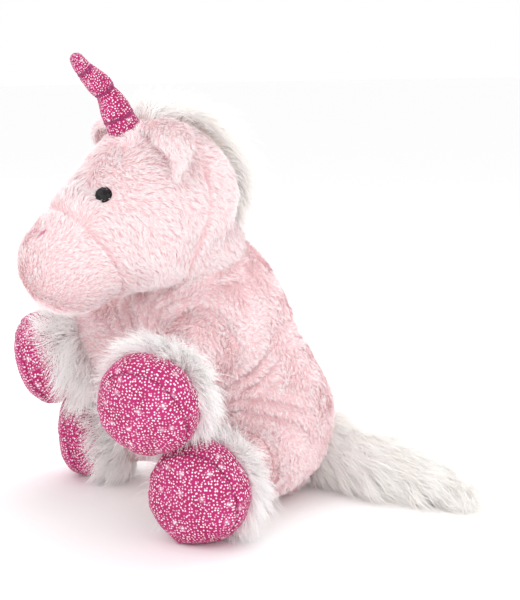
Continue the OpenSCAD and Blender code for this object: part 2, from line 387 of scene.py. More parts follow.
PINK_BACKING = cloth_backing("pink_backing", (0.88, 0.60, 0.63), (0.94, 0.76, 0.78), 0.9)
WHITE_BACKING = cloth_backing("white_backing", (0.80, 0.74, 0.72), (0.92, 0.88, 0.86), 0.9)
LINING = cloth_backing("ear_lining_cloth", (0.88, 0.66, 0.68), (0.95, 0.80, 0.81), 0.7)
STUFFING = cloth_backing("stuffing_fibre", (0.84, 0.84, 0.83), (0.94, 0.94, 0.93), 0.5)


def foil_cloth():
    """Satin-like magenta cloth printed with small silver dots, with a painted glint star and a soft painted
    glow in each large cell.
    """
    m = principled("dotted_foil_cloth", (0.42, 0.015, 0.12), 0.55, 0.05)
    n = Nodes(m)
    n.shader.inputs["Specular IOR Level"].default_value = 0.12
    flat = n.add("ShaderNodeAttribute", attribute_name="cloth").outputs["Vector"]
    dots = n.cells(flat, 2.3, Randomness=0.78)
    wobble = n.noise(flat, 1.6, 2.0, noise_dimensions="2D")
    edge = n.math("ADD", dots.outputs["Distance"], n.range(wobble, 0.3, 0.7, -0.04, 0.04))
    size = n.range(dots.outputs["Color"], 0.0, 1.0, 0.20, 0.27)
    dot = n.range(n.math("SUBTRACT", edge, size), -0.03, 0.03, 1.0, 0.0)
    # painted glint stars: one in each large cell, drawn from the distance to its centre along and across
    big = n.cells(flat, 19.0, Randomness=0.9)
    away = n.vector("SUBTRACT", flat, big.outputs["Position"]).outputs[0]
    painted_glint = None
    for turn, reach in ((0.2, 3.4), (0.2 + math.pi / 3, 2.8), (0.2 + 2 * math.pi / 3, 2.8)):
        c, s = math.cos(turn), math.sin(turn)
        along = n.vector("DOT_PRODUCT", away, (c, s, 0.0)).outputs["Value"]
        across = n.vector("DOT_PRODUCT", away, (-s, c, 0.0)).outputs["Value"]
        painted_glint_ray = n.math("ADD", n.math("MULTIPLY", n.math("ABSOLUTE", along), 1 / reach),
                     n.math("MULTIPLY", n.math("ABSOLUTE", across), 1 / 0.5))
        painted_glint_ray = n.range(painted_glint_ray, 0.15, 1.0, 1.0, 0.0)
        painted_glint = painted_glint_ray if painted_glint is None else n.math("MAXIMUM", painted_glint, painted_glint_ray)
    # a soft painted glow of light round each painted glint, lightening the base colour
    painted_glint_glow = n.vector("LENGTH", away).outputs["Value"]
    painted_glint_glow = n.range(painted_glint_glow, 0.3, 3.0, 0.45, 0.0)
    fold = n.noise(flat, 0.06, 3.0, noise_dimensions="2D")
    weave = n.cells(flat, 0.45, Randomness=0.2).outputs["Distance"]
    base = n.mix(n.range(fold, 0.3, 0.7), (0.36, 0.010, 0.09, 1), (0.47, 0.022, 0.15, 1))
    base = n.mix(n.range(weave, 0.1, 0.7, 0.0, 0.22), base, (0.66, 0.09, 0.32, 1))
    dots_and_painted_glint = n.math("MAXIMUM", dot, painted_glint)
    silver = n.mix(n.range(dots.outputs["Color"], 0.2, 0.6), (0.62, 0.42, 0.52, 1), (0.95, 0.88, 0.92, 1))
    base = n.mix(painted_glint_glow, base, (0.80, 0.45, 0.60, 1))
    # painted shade: the seam attribute darkens the cloth in seam grooves and gathers, where shadow falls
    seam = n.add("ShaderNodeAttribute", attribute_name="seam").outputs["Fac"]
    n.link(n.mix(seam, n.mix(dots_and_painted_glint, base, silver), (0.20, 0.008, 0.07, 1)), "Base Color")
    n.link(n.range(dots_and_painted_glint, 0.0, 1.0, 0.6, 0.25), "Roughness")
    n.bump(n.math("SUBTRACT", n.math("MULTIPLY", dot, 0.6), weave), 0.35, 0.2 * MM)
    return m


FOIL = foil_cloth()


def thread_material(name, colour):
    """Sewing thread, with its twist as fine darker bands."""
    m = principled(name, colour, 0.6, 0.3)
    n = Nodes(m)
    place = n.place()
    ply = n.add("ShaderNodeTexWave", {"Vector": place, "Scale": 900.0, "Distortion": 1.0}).outputs["Fac"]
    n.link(n.mix(n.range(ply, 0.2, 0.8), (*[c * 0.7 for c in colour], 1), (*colour, 1)), "Base Color")
    n.bump(ply, 0.5, 0.2 * MM)
    return m


def eye_material():
    """Black glass-smooth plastic with faint moulding swirls and dust in its gloss."""
    m = principled("eye_gloss", (0.004, 0.003, 0.004), 0.05)
    n = Nodes(m)
    n.shader.inputs["Specular IOR Level"].default_value = 0.2
    n.shader.inputs["Coat Weight"].default_value = 0.15
    n.shader.inputs["Coat Roughness"].default_value = 0.03
    place = n.place()
    dust = n.noise(place, 700.0, 5.0)
    n.link(n.mix(n.range(dust, 0.4, 0.8), (0.004, 0.003, 0.004, 1), (0.016, 0.012, 0.014, 1)), "Base Color")
    n.link(n.range(dust, 0.3, 0.8, 0.04, 0.16), "Roughness")
    return m


def plastic_material(name, colour):
    """Dull moulded plastic."""
    m = principled(name, colour, 0.5)
    n = Nodes(m)
    place = n.place()
    grain = n.noise(place, 400.0, 4.0)
    n.link(n.mix(grain, (*[c * 0.85 for c in colour], 1), (*colour, 1)), "Base Color")
    n.link(n.range(grain, 0.3, 0.7, 0.4, 0.6), "Roughness")
    return m


# ---------------------------------------------------------------- fur

def clump_of(p, size, seed):
    """For each point: the nearest of one jittered centre in each cell of a grid, and that centre's number."""
    rng = np.random.default_rng(seed)
    table = rng.uniform(0.1, 0.9, (64, 64, 64, 3)).astype(np.float32)
    base = np.floor(p / size).astype(int)
    best = np.full(len(p), 1e9)
    centre = np.zeros_like(p)
    number = np.zeros(len(p), int)
    for dx in (-1, 0, 1):
        for dy in (-1, 0, 1):
            for dz in (-1, 0, 1):
                cell = base + (dx, dy, dz)
                k = cell % 64
                c = (cell + table[k[:, 0], k[:, 1], k[:, 2]]) * size
                d = ((p - c) ** 2).sum(1)
                near = d < best
                best[near], centre[near] = d[near], c[near]
                number[near] = (k[near, 0] * 64 + k[near, 1]) * 64 + k[near, 2]
    return centre, number


def turned(v, axis, angle):
    """v turned about axis, for arrays."""
    c, s = np.cos(angle)[:, None], np.sin(angle)[:, None]
    return v * c + np.cross(axis, v) * s + axis * (v * axis).sum(1)[:, None] * (1 - c)


def fur(name, surface, shades, seed, density=1.0, length=8.0, width=0.5, steps=2, comb=None, lean=0.88,
        clump=0.5, clump_size=3.2, curl=0.4, sag=0.0, wave=0.0, keep=None, length_at=None,
        spread=0.06, tumble=0.25, deep=None):
    """Pile as fine ribbons on a surface (points, quads), in objects of up to about PIECE_LIMIT triangles."""
    rng = np.random.default_rng(seed)
    points, quads = surface
    normals, tri, area = point_normals(points, quads)
    count = int(area.sum() * density * (1.0))
    pick = np.searchsorted(np.cumsum(area) / area.sum(), rng.random(count)).clip(0, len(tri) - 1)
    r1, r2 = np.sqrt(rng.random(count)), rng.random(count)
    w = np.stack([1 - r1, r1 * (1 - r2), r1 * r2], 1)[:, :, None]
    root = (points[tri[pick]] * w).sum(1)
    n = unit((normals[tri[pick]] * w).sum(1))
    if keep is not None:
        stays = rng.random(count) < keep(root, n)
        root, n = root[stays], n[stays]
    count = len(root)
    toward = comb(root, n) if comb else np.tile(vec(0, 0, -1.0), (count, 1))
    toward = toward - n * (toward * n).sum(1)[:, None]
    toward = unit(toward + 1e-4)
    centre, number = clump_of(root + 0.12 * clump_size * rng.normal(size=(count, 3)), clump_size, seed + 1)
    chance = np.random.default_rng(seed + 2).random((64 ** 3, 3)).astype(np.float32)[number]
    swirl = curl * (1.3 * noise(root, 14, seed + 3) + 1.6 * (chance[:, 0] - 0.5))
    toward = turned(toward, n, swirl + rng.normal(0, 0.14, count))
    size = length * (1 + 0.35 * (chance[:, 1] - 0.5)) * rng.uniform(0.75, 1.15, count)
    if length_at is not None:
        size = size * length_at(root, n)
    gather = centre - root
    gather = (gather - n * (gather * n).sum(1)[:, None]) * clump
    sway = unit(np.cross(n, toward))
    phase = rng.uniform(0, 2 * math.pi, count) * 0.25 + chance[:, 2] * 2 * math.pi
    stray = rng.normal(0, spread, (count, 3))
    line = []
    for k in range(steps + 1):
        t = k / steps
        rise = t * (1 - 0.45 * lean * t)
        forward = lean * (0.35 * t + 0.65 * t * t)
        q = root + size[:, None] * (n * rise * (1 - 0.5 * lean) + toward * forward + stray * t * t)
        q = q + gather * t ** 1.3
        if wave:
            q = q + sway * (wave * size * t * np.sin(2.2 * math.pi * t + phase))[:, None]
        q[:, 2] -= sag * size * t * t
        line.append(q)
    line = np.stack(line, 1)
    floor = 0.4 + rng.random(count)[:, None] * 0.8
    line[:, :, 2] = np.maximum(line[:, :, 2], floor)
    run = np.gradient(line, axis=1)
    facing = unit(n + rng.normal(0, tumble, (count, 3)))
    flat = unit(np.cross(run, facing[:, None, :]))
    t = np.linspace(0, 1, steps + 1)
    half = width / 2 * (1 - 0.75 * t ** 1.5)[None, :, None] * rng.uniform(0.7, 1.3, count)[:, None, None]
    left, right = line - flat * half, line + flat * half
    per = 2 * steps + 1
    verts = np.empty((count, per, 3))
    verts[:, 0:2 * steps:2] = left[:, :-1]
    verts[:, 1:2 * steps:2] = right[:, :-1]
    verts[:, -1] = line[:, -1]
    tip = 1 + (rng.random(count) * 0.45 + chance[:, 2] * 0.55) * (len(shades) - 1.001)
    tip = tip.astype(int)
    # deep gives each strand's chance of being drawn wholly in shades[0], the deepest colour; callers use it
    # for random deeper strands and for painted shade in creases and along seams
    if deep is not None:
        tip[rng.random(count) < deep(root)] = 0
    quad = np.array([[2 * k, 2 * k + 1, 2 * k + 3, 2 * k + 2] for k in range(steps - 1)]).reshape(-1, 4)
    last = np.array([[2 * steps - 2, 2 * steps - 1, 2 * steps]])
    made = []
    parts = max(1, math.ceil(count * (2 * steps - 1) / PIECE_LIMIT))
    for part, ids in enumerate(np.array_split(np.arange(count), parts)):
        base = (np.arange(len(ids)) * per)[:, None, None]
        faces = [(base + quad).reshape(-1, 4), (base + last).reshape(-1, 3)]
        part_name = name if parts == 1 else "%s_%d" % (name, part + 1)
        obj = mesh_object(part_name, verts[ids].reshape(-1, 3), faces)
        # every strand's root segment is drawn in shades[0]: painted shade at the base of the pile
        low = np.zeros((len(ids), steps - 1), int)
        low[:, 1:] = tip[ids][:, None]
        index = np.concatenate([low.ravel(), tip[ids]])
        obj.data.polygons.foreach_set("material_index", index.astype(np.int32))
        paint(obj, *shades)
        made.append(obj)
    return made


# ---------------------------------------------------------------- fixing pieces to bodies

TABLE = {
    "torso": lambda o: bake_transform(o),
    "head": lambda o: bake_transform(o),
    "tail": lambda o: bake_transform(o),
}


def fix(objects, to):
    """Bakes each piece's place into its mesh for the torso, head, tail and limbs, and otherwise has it ride
    its body's empty.
    """
    for o in objects:
        if to in TABLE:
            TABLE[to](o)
        elif to in LIMBS:
            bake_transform(o)
        else:
            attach(o, to.replace("_rigid", ""))
    return objects


# ---------------------------------------------------------------- torso

def around_limbs(p):
    """For each limb: how far along it each point is, the point's offset from its axis, and the axis."""
    for root, along, _, _ in LIMBS.values():
        q = p - root
        yield q @ along, q - np.outer(q @ along, along), along


def torso_base(p):
    """The body without creases: a taper with a neck, hips, shoulders and a flat seat."""
    f = taper(p, HIP, CHEST, 64, 54.5)
    f = melt(f, ball(p, NECK, 42), 10)
    for side in (1, -1):
        f = melt(f, egg(p, vec(side * 34, -8, 46), (36, 42, 40)), 14)
        f = melt(f, ball(p, vec(side * 36, -50, 137), 26), 16)
    return cut(f, 1.5 - p[:, 2], 10)


def torso_creases(p):
    """Soft creases in rings round each limb's seam: 1 at the bottom of a crease, 0 between them."""
    total = np.zeros(len(p))
    for ahead, offset, _ in around_limbs(p):
        away = np.linalg.norm(offset, axis=1)
        reach = bump(away - 43, 17) * (ahead < 15) * np.clip(0.75 + 0.9 * noise(p, 36, 6), 0, 1)
        rings = away / 9.5 + 0.30 * noise(p, 26, 5)
        total += reach * bump((rings - np.round(rings)) * 9.5, 2.3)
    return np.clip(total, 0, 1)


def torso_field(p):
    """The stuffed body, gathered round each limb's seam and creased at the neck."""
    f = torso_base(p) + 5.0 * torso_creases(p)
    seam = np.abs(p[:, 0])
    back = p[:, 1] > NECK[1] + 0.4 * (p[:, 2] - NECK[2])
    f = f + 1.6 * bump(seam, 2.2) * back
    f = f + 2.5 * bump((p - NECK) @ TORSO_AXIS, 5)
    return f + 1.1 * noise(p, 22, 7) + 0.5 * noise(p, 9, 8)


def torso_comb(p, n):
    """Pile lies down and back, and follows the creases round each limb."""
    v = np.tile(vec(0, 0.35, -1.0), (len(p), 1)) + 0.5 * drift(p, 30, 11)
    for _, radial, along in around_limbs(p):
        round_way = np.cross(along, unit(radial))
        round_way = round_way * np.sign((round_way * v).sum(1) + 1e-6)[:, None]
        v = v + 2.0 * bump(np.linalg.norm(radial, axis=1) - 43, 14)[:, None] * round_way
    return v


def make_torso():
    """The body's skin, flattened under the seat, and its pile."""
    points, quads = skin_mesh(torso_field, (-75, -105, 0), (75, 72, 222), 2.3)
    points[:, 2] = np.maximum(points[:, 2], 0.5)
    surface = (points, quads)
    skin = paint(mesh_object("body_skin", *surface), PINK_BACKING)
    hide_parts("body_plush")

    def keep(p, n):
        k = np.ones(len(p))
        for ahead, offset, _ in around_limbs(p):
            k[(np.linalg.norm(offset, axis=1) < 17) & (ahead > -8)] = 0
        k[ball(p, NECK, 36) < 0] = 0
        k[p[:, 2] < 2.2] = 0
        return k

    # painted shade: strands in the creases round the limbs are drawn in the deepest pink, besides a few at
    # random
    def deep(p):
        return 0.12 + 0.8 * torso_creases(p)

    def size(p, n):
        return 1 - 0.5 * torso_creases(p)

    pile = fur("body_pile", surface, PINK_SHADES, 21, density=1.6, length=5.4, comb=torso_comb, keep=keep,
               lean=0.8, clump=0.75, clump_size=2.8, curl=0.9, deep=deep, length_at=size)
    fix([skin] + pile, "torso")


# ---------------------------------------------------------------- head

# The left eye and nostril. The eye faces this far round from the front, and this far down from straight up.
EYE = vec(30.2, -134.5, 240)
EYE_TURN, EYE_TILT = math.radians(57), math.radians(52)
EYE_AXIS = vec(math.sin(EYE_TURN) * math.sin(EYE_TILT),
               -math.cos(EYE_TURN) * math.sin(EYE_TILT), math.cos(EYE_TILT))
NOSTRIL = vec(8.5, -173.5, 212.8)


def folded(p):
    """The points with the right side folded onto the left."""
    return np.stack([np.abs(p[:, 0]), p[:, 1], p[:, 2]], 1)


def head_base(p):
    """The head without seams: skull, cheeks and muzzle."""
    f = taper(p, SKULL, MUZZLE, 56.5, 34.5)
    q = folded(p)
    f = melt(f, ball(q, SKULL + 24 * FACE_AXIS - 15 * FACE_UP + vec(20, 0, 0), 34), 14)
    nose = egg(p, MUZZLE - FACE_AXIS - 2 * FACE_UP, (36, 34, 34), (vec(1, 0, 0), FACE_AXIS, FACE_UP))
    return melt(f, nose, 8)


def head_field(p):
    """The stuffed head, with its seams, eye sockets and nostrils drawn in."""
    f = melt(head_base(p), ball(p, NECK, 43), 9)
    f = f + 1.8 * bump(muzzle_line(p), 1.9)
    f = f + 1.4 * bump(p[:, 0], 2.0) * (((p - SKULL) @ FACE_UP < -12) | (p[:, 1] > SKULL[1] + 10))
    f = f + 1.7 * bump(cheek_line(p), 1.9) * np.clip((SKULL[2] + 40 - p[:, 2]) / 14, 0, 1)
    f = f + 2.2 * bump((p - NECK) @ TORSO_AXIS - 1, 5)
    q = folded(p)
    f = f + 0.8 * bump(np.linalg.norm(q - EYE, axis=1), 8.0)
    f = f + 3.0 * bump(np.linalg.norm(q - NOSTRIL, axis=1), 5.5)
    return f + 0.9 * noise(p, 20, 31) + 0.45 * noise(p, 9, 32)


def muzzle_line(p):
    """How far a point is ahead of the muzzle's seam."""
    return ((p - SKULL) @ FACE_AXIS - MUZZLE_SEAM - 0.05 * ((p - SKULL) @ FACE_UP) - 4 * np.cos(p[:, 0] / 26))


def cheek_line(p):
    """How far a point is behind the seam that runs from the ear down the side of the head."""
    return p[:, 1] - (SKULL[1] + 8) - 0.10 * (p[:, 2] - SKULL[2]) - 3 * np.cos((p[:, 2] - SKULL[2]) / 22)


def face_comb(p, n):
    """From the nose backwards, then down over the cheeks."""
    ahead = ((p - SKULL) @ FACE_AXIS)[:, None]
    back = np.clip((MUZZLE_SEAM + 20 - ahead) / 40, 0, 1)
    v = -FACE_AXIS * (1 - 0.5 * back) + vec(0, 0.15, -0.8) * back
    away = (np.clip(muzzle_line(p) / 2, -1, 1) * bump(muzzle_line(p), 3.5))[:, None] * FACE_AXIS
    away = away + (np.clip(cheek_line(p) / 2, -1, 1) * bump(cheek_line(p), 3.5))[:, None] * vec(0, 1, 0)
    return v + 0.8 * away + 0.45 * drift(p, 26, 34)


def make_head():
    """One surface cut at the muzzle's seam, each part a skin with its pile."""
    points, quads = skin_mesh(head_field, (-66, -192, 130), (66, -8, 292), 2.6)
    in_front = muzzle_line(points[quads].mean(1)) > 0
    rear, front = part_of(points, quads, ~in_front), part_of(points, quads, in_front)

    def keep(p, n):
        q = folded(p)
        k = 1 - 0.97 * (np.linalg.norm(q - EYE, axis=1) < 6.6)
        k = k * (1 - 0.75 * bump(np.linalg.norm(q - NOSTRIL, axis=1), 3.2))
        seams = bump(muzzle_line(p), 1.6) + bump(cheek_line(p), 1.6) * (p[:, 2] < SKULL[2] + 34)
        k = k * (1 - 0.6 * np.clip(seams, 0, 1))
        k[((p - NECK) @ TORSO_AXIS < -1)] = 0
        return k

    def size(p, n):
        q = folded(p)
        near_eye = bump(np.linalg.norm(q - EYE, axis=1), 8)
        near_nose = bump(np.linalg.norm(q - NOSTRIL, axis=1), 8)
        ahead = (p - SKULL) @ FACE_AXIS
        bridge = bump(p[:, 0], 14) * bump(p[:, 1] - EYE[1] + 15, 20) * (n[:, 2] > 0.3)
        return (1 - 0.3 * near_eye - 0.45 * near_nose + 0.7 * bridge) * (1 - 0.2 * (ahead > MUZZLE_SEAM))

    # painted shade: strands along the muzzle and cheek seam grooves are drawn in the deepest pink, besides a
    # few at random
    def deep(p):
        lines = bump(muzzle_line(p), 1.3) + bump(cheek_line(p), 1.3) * (p[:, 2] < SKULL[2] + 34)
        return 0.05 + 0.6 * np.clip(lines, 0, 1)

    for name, part, node, seed in (("head", rear, "head_plush", 41), ("muzzle", front, "muzzle_plush", 51)):
        skin = paint(mesh_object(name + "_skin", *part), PINK_BACKING)
        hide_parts(node)
        pile = fur(name + "_pile", part, PINK_SHADES, seed, density=1.7, length=6.2, comb=face_comb,
                   keep=keep, length_at=size, deep=deep)
        fix([skin] + pile, "head")


# ---------------------------------------------------------------- limbs and hooves

def limb_place(name, p):
    """Points in a limb's own frame: across, up and along."""
    root, along, across, up = LIMBS[name]
    return (p - root) @ np.stack([across, up, along], 1)


def limb_world(name, q):
    root, along, across, up = LIMBS[name]
    return root + q @ np.stack([across, up, along])


def make_leg(name, seed):
    """A leg's skin and pile, then its cuff and hoof."""
    along = LIMBS[name][1]

    def leg_creases(q):
        rings = q[:, 2] / 9 + 0.35 * noise(q, 20, seed)
        return bump(q[:, 2] - 8, 19) * bump((rings - np.round(rings)) * 9, 1.7)

    # painted shade: strands in the leg's creases are drawn in the deepest pink, besides a few at random
    def deep(p):
        return 0.10 + 0.8 * leg_creases(limb_place(name, p))

    def field(q):
        f = taper(q, vec(0, 0, -12), vec(0, 0, 57), 27.5, 22.5)
        f = f + 3.0 * leg_creases(q)
        return f + 1.2 * noise(q, 20, seed + 1) + 0.5 * noise(q, 9, seed + 2)

    points, quads = skin_mesh(field, (-30, -30, -42), (30, 30, 82), 2.8)
    surface = (limb_world(name, points), quads)
    skin = paint(mesh_object(name + "_leg_skin", *surface), PINK_BACKING)
    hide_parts(name + "_leg_plush")

    def keep(p, n):
        z = limb_place(name, p)[:, 2]
        return ((z < 59) & (torso_base(p) > -7)).astype(float)

    def comb(p, n):
        return along * 0.9 + vec(0, 0, -0.35) + 0.45 * drift(p, 24, 61)

    pile = fur(name + "_leg_pile", surface, PINK_SHADES, seed, density=1.6, length=5.6, comb=comb, keep=keep,
               lean=0.82, clump=0.7, clump_size=2.8, curl=0.8, deep=deep)
    fix([skin] + pile, name)
    make_cuff(name, seed + 5)
    make_hoof(name, seed + 9)


def make_cuff(name, seed):
    """A band of long white pile that flares round the wrist and falls over the hoof."""
    along = LIMBS[name][1]

    def field(q):
        f = taper(q, vec(0, 0, 50), vec(0, 0, 65), 24.5, 26)
        return f + 0.8 * noise(q, 12, seed)

    points, quads = skin_mesh(field, (-32, -32, 20), (32, 32, 94), 3.0)
    height = points[quads].mean(1)[:, 2]
    points, quads = part_of(points, quads, (height > 45) & (height < 70))
    surface = (limb_world(name, points), quads)
    skin = paint(mesh_object(name + "_cuff_skin", *surface), WHITE_BACKING)
    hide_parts(name + "_cuff")

    def comb(p, n):
        return along * 0.5 + vec(0, 0, -0.25) + 0.4 * drift(p, 16, 71)

    pile = fur(name + "_cuff_pile", surface, WHITE_SHADES, seed, density=1.7, length=29, width=0.5, steps=5,
               comb=comb, lean=0.36, clump=0.7, clump_size=6.5, curl=0.35, sag=0.10, wave=0.06, spread=0.10,
               tumble=1.2)
    fix([skin] + pile, name + "_leg")


def hoof_rings(turn, part):
    """Radius, height and distance along the cloth for each ring of a padded hoof, all round its axis."""
    seam = 0.25 + 0.10 * np.sin(turn) + 0.012 * np.sin(3 * turn + 1)
    share = np.linspace(0, 1, 30)[:, None]
    low = HOOF_TOP if part == "hoof_band" else seam
    high = seam if part == "hoof_band" else 1
    angle = (low + (high - low) * share) * math.pi / 2
    rounding = 0.8
    r = HOOF_R * np.maximum(np.cos(angle), 0) ** rounding
    z = HOOF_REACH + HOOF_HALF * np.sign(angle) * np.abs(np.sin(angle)) ** rounding
    across = np.hypot(np.diff(r, axis=0, prepend=r[:1]), np.diff(z, axis=0, prepend=z[:1])).cumsum(0)
    return r, z, across


def make_hoof(name, seed):
    """A side band and a domed sole of padded foil cloth, drawn in and puckered at the seam between them."""
    count = 200
    turn = np.arange(count) / count * 2 * math.pi
    ring = np.stack([np.cos(turn), np.sin(turn), 0 * turn], 1)
    gathers = noise(ring * 14 + seed * 7, 2.2, 81)
    upright = vec(0, 0, 1)
    for part in ("hoof_band", "hoof_sole"):
        r, z, across = hoof_rings(turn, part)
        from_seam = across[-1] - across if part == "hoof_band" else across
        q = ring * r[:, :, None] + upright * z[:, :, None]
        outward, upward = r / HOOF_R ** 2, (z - HOOF_REACH) / HOOF_HALF ** 2
        normal = unit(ring * outward[:, :, None] + upright * upward[:, :, None])
        place = q.reshape(-1, 3) + seed
        swell = (1.1 * noise(place, 17, 82) + 0.4 * noise(place, 7, 83)).reshape(r.shape)
        reach = 5.0 if part == "hoof_band" else 3.5
        pucker = 0.75 * gathers * (bump(from_seam - 2.2, reach) - 0.8 * bump(from_seam, 1.0))
        rise = swell * np.clip(r / 12, 0, 1) - 1.5 * bump(from_seam, 1.3) + pucker
        q = (q + normal * rise[:, :, None]).reshape(-1, 3)
        world = limb_world(name, q)
        world[:, 2] = np.maximum(world[:, 2], 0.3)
        piece = mesh_object("%s_%s_skin" % (name, part), world, grid_quads(len(r), count))
        if part == "hoof_sole":
            cloth = ring * (across[-1] - across)[:, :, None]
        else:
            cloth = np.stack(np.broadcast_arrays(turn * 33, across, 0), -1)
        # painted shade: the seam attribute darkens the cloth along the groove between band and sole
        add_cloth(piece, cloth.reshape(-1, 3) + seed * vec(3.1, 1.7, 0), 0.7 * bump(from_seam, 0.7).ravel())
        paint(piece, FOIL)
        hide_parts("%s_%s" % (name, part))
        fix([piece], name + "_leg")


def add_cloth(piece, flat, seam=None):
    """Where each point lies on the flat cloth, in millimetres, and how much painted shade it gets from lying
    deep in a seam.
    """
    seam = np.zeros(len(flat)) if seam is None else seam
    data = piece.data.attributes.new("cloth", "FLOAT_VECTOR", "POINT")
    data.data.foreach_set("vector", flat.astype(np.float32).ravel())
    data = piece.data.attributes.new("seam", "FLOAT", "POINT")
    data.data.foreach_set("value", seam.astype(np.float32))


# ---------------------------------------------------------------- small shapes

def tube(name, path, radius, sides=8, closed=False):
    """A round thread along a path of points."""
    path = np.asarray(path, float)
    run = unit(np.roll(path, -1, 0) - np.roll(path, 1, 0)) if closed else unit(np.gradient(path, axis=0))
    side = unit(np.cross(run, vec(0.31, 0.22, 0.92)))
    up = np.cross(run, side)
    turn = np.arange(sides) / sides * 2 * math.pi
    ring = side[:, None, :] * np.cos(turn)[None, :, None] + up[:, None, :] * np.sin(turn)[None, :, None]
    points = (path[:, None, :] + radius * ring).reshape(-1, 3)
    j = np.arange(sides)
    caps = [] if closed else [j[None, ::-1], (j + (len(path) - 1) * sides)[None, :]]
    return mesh_object(name, points, [grid_quads(len(path), sides, closed_rows=closed)] + caps)


def lathe(name, profile, place, axis, sides=48):
    """A closed form turned about an axis; its profile is (radius, height) from bottom to top."""
    axis = unit(axis)
    side = unit(np.cross(axis, vec(0.3, 0.9, 0.2)))
    up = np.cross(axis, side)
    turn = np.arange(sides) / sides * 2 * math.pi
    rows = [place + h * axis + r * (np.outer(np.cos(turn), side) + np.outer(np.sin(turn), up))
            for r, h in profile[1:-1]]
    points = np.concatenate([[place + profile[0][1] * axis], *rows, [place + profile[-1][1] * axis]])
    count = len(rows)
    j = np.arange(sides)
    beside = (j + 1) % sides
    low = np.stack([0 * j, 1 + beside, 1 + j], 1)
    last = 1 + (count - 1) * sides
    top = np.stack([0 * j + len(points) - 1, last + j, last + beside], 1)
    return mesh_object(name, points, [1 + grid_quads(count, sides), low, top])


# ---------------------------------------------------------------- horn

def leaning(degrees):
    """A direction tipped forward from straight up."""
    return vec(0, -math.sin(math.radians(degrees)), math.cos(math.radians(degrees)))


HORN_AXES = (leaning(27), leaning(50), leaning(35))
HORN_FOOT = SKULL + 55.5 * HORN_AXES[0]
WAIST_1 = HORN_FOOT + 33.5 * HORN_AXES[0]
WAIST_2 = WAIST_1 + 20.5 * HORN_AXES[1]
THREAD_TURNS = 2.5
# Each gather's middle, axis and radius.
GATHERS = ((HORN_FOOT + 12 * HORN_AXES[0], HORN_AXES[0], 11.5),
           (WAIST_1, unit(HORN_AXES[0] + HORN_AXES[1]), 8),
           (WAIST_2, unit(HORN_AXES[1] + HORN_AXES[2]), 6))


def horn_field(p):
    """Four stuffed bulges with the cloth drawn in by thread between them."""
    a, b, c = HORN_AXES
    f = taper(p, HORN_FOOT - 3 * a, HORN_FOOT + 8 * a, 12.4, 11.6)
    f = melt(f, taper(p, HORN_FOOT + 16 * a, HORN_FOOT + 28 * a, 11.3, 8.4), 2.2)
    f = melt(f, taper(p, WAIST_1 + 4.5 * b, WAIST_1 + 16 * b, 8.9, 7.4), 2.2)
    f = melt(f, taper(p, WAIST_2 + 3 * c, WAIST_2 + 9 * c, 6.3, 5.3), 2.0)
    for place, axis, _ in GATHERS:
        q = p - place
        height = q @ axis
        round_way = np.arctan2(q[:, 0], q @ np.cross(axis, vec(1, 0, 0)))
        f = f + bump(height, 4.5) * (0.45 * np.sin(11 * round_way + 0.4 * height) + 0.5)
    return f + 0.4 * noise(p, 8, 91)


def make_horn():
    """The horn's foil cloth, the thread wound in each gather, and the stuffing."""
    points, quads = skin_mesh(horn_field, (-16, -152, 264), (16, -86, 338), 1.3)
    skin = mesh_object("horn_skin", points, quads)
    axis = unit(WAIST_2 - HORN_FOOT)
    q = points - HORN_FOOT
    turn = np.arctan2(q[:, 0], -(q @ np.cross(vec(1, 0, 0), axis)))
    flat = np.stack([turn * 9, q @ axis, 0 * turn], 1)
    # painted shade: the cloth is drawn darker in each gather, where the thread draws it in
    painted_gather_shade = sum(bump((points - place) @ axis, 1.2) for place, axis, _ in GATHERS)
    add_cloth(skin, 1.3 * flat, 0.8 * np.clip(painted_gather_shade, 0, 1))
    paint(skin, FOIL)
    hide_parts("horn_cover")
    fix([skin], "head")
    winds = []
    for number, (place, axis, radius) in enumerate(GATHERS):
        t = np.linspace(0, 1, 110)
        turn = t * 2 * math.pi * THREAD_TURNS
        side = vec(1, 0, 0)
        up = np.cross(axis, side)
        path = place + np.outer(np.cos(turn), side) * radius + np.outer(np.sin(turn), up) * radius
        path = path + np.outer((t - 0.5) * 1.8, axis)
        path = onto(horn_field, path, 6)
        path = path + 0.15 * unit(slope(horn_field, path))
        winds.append(paint(tube("horn_thread_%d" % (number + 1), path, 0.38), FOIL_THREAD))
    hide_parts("horn_thread")
    fix(winds, "head")
    stuffing("horn_stuffing", "horn_filling", "head", lambda p: horn_field(p) + 2.2,
             (-14, -150, 268), (14, -88, 336), 2.6)


# ---------------------------------------------------------------- eyes and nostrils

def make_eyes():
    eye_plastic, washer_plastic = eye_material(), plastic_material("washer_moulding", (0.80, 0.80, 0.79))
    for side in SIDES:
        axis = unit(EYE_AXIS * vec(SIDES[side], 1, 1))
        place = EYE * vec(SIDES[side], 1, 1)
        dome = [(6.2 * math.sin(a), 4.3 * math.cos(a)) for a in np.linspace(math.pi * 0.56, 0.06, 14)]
        profile = [(0, -9), (1.7, -9), (1.9, -8.6), (1.9, -1.6), (5.2, -1.5), *dome, (0, 4.3)]
        eye = paint(lathe(side + "_eye_dome", profile, place - 2.0 * axis, axis), eye_plastic)
        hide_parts(side + "_eye")
        fix([eye], "head")
        paint_node(side + "_eye_washer", washer_plastic)


def paint_node(name, material):
    """A finish for one of the frame's own pieces."""
    slots = frame["nodes"][name].data.materials
    slots.clear()
    slots.append(material)


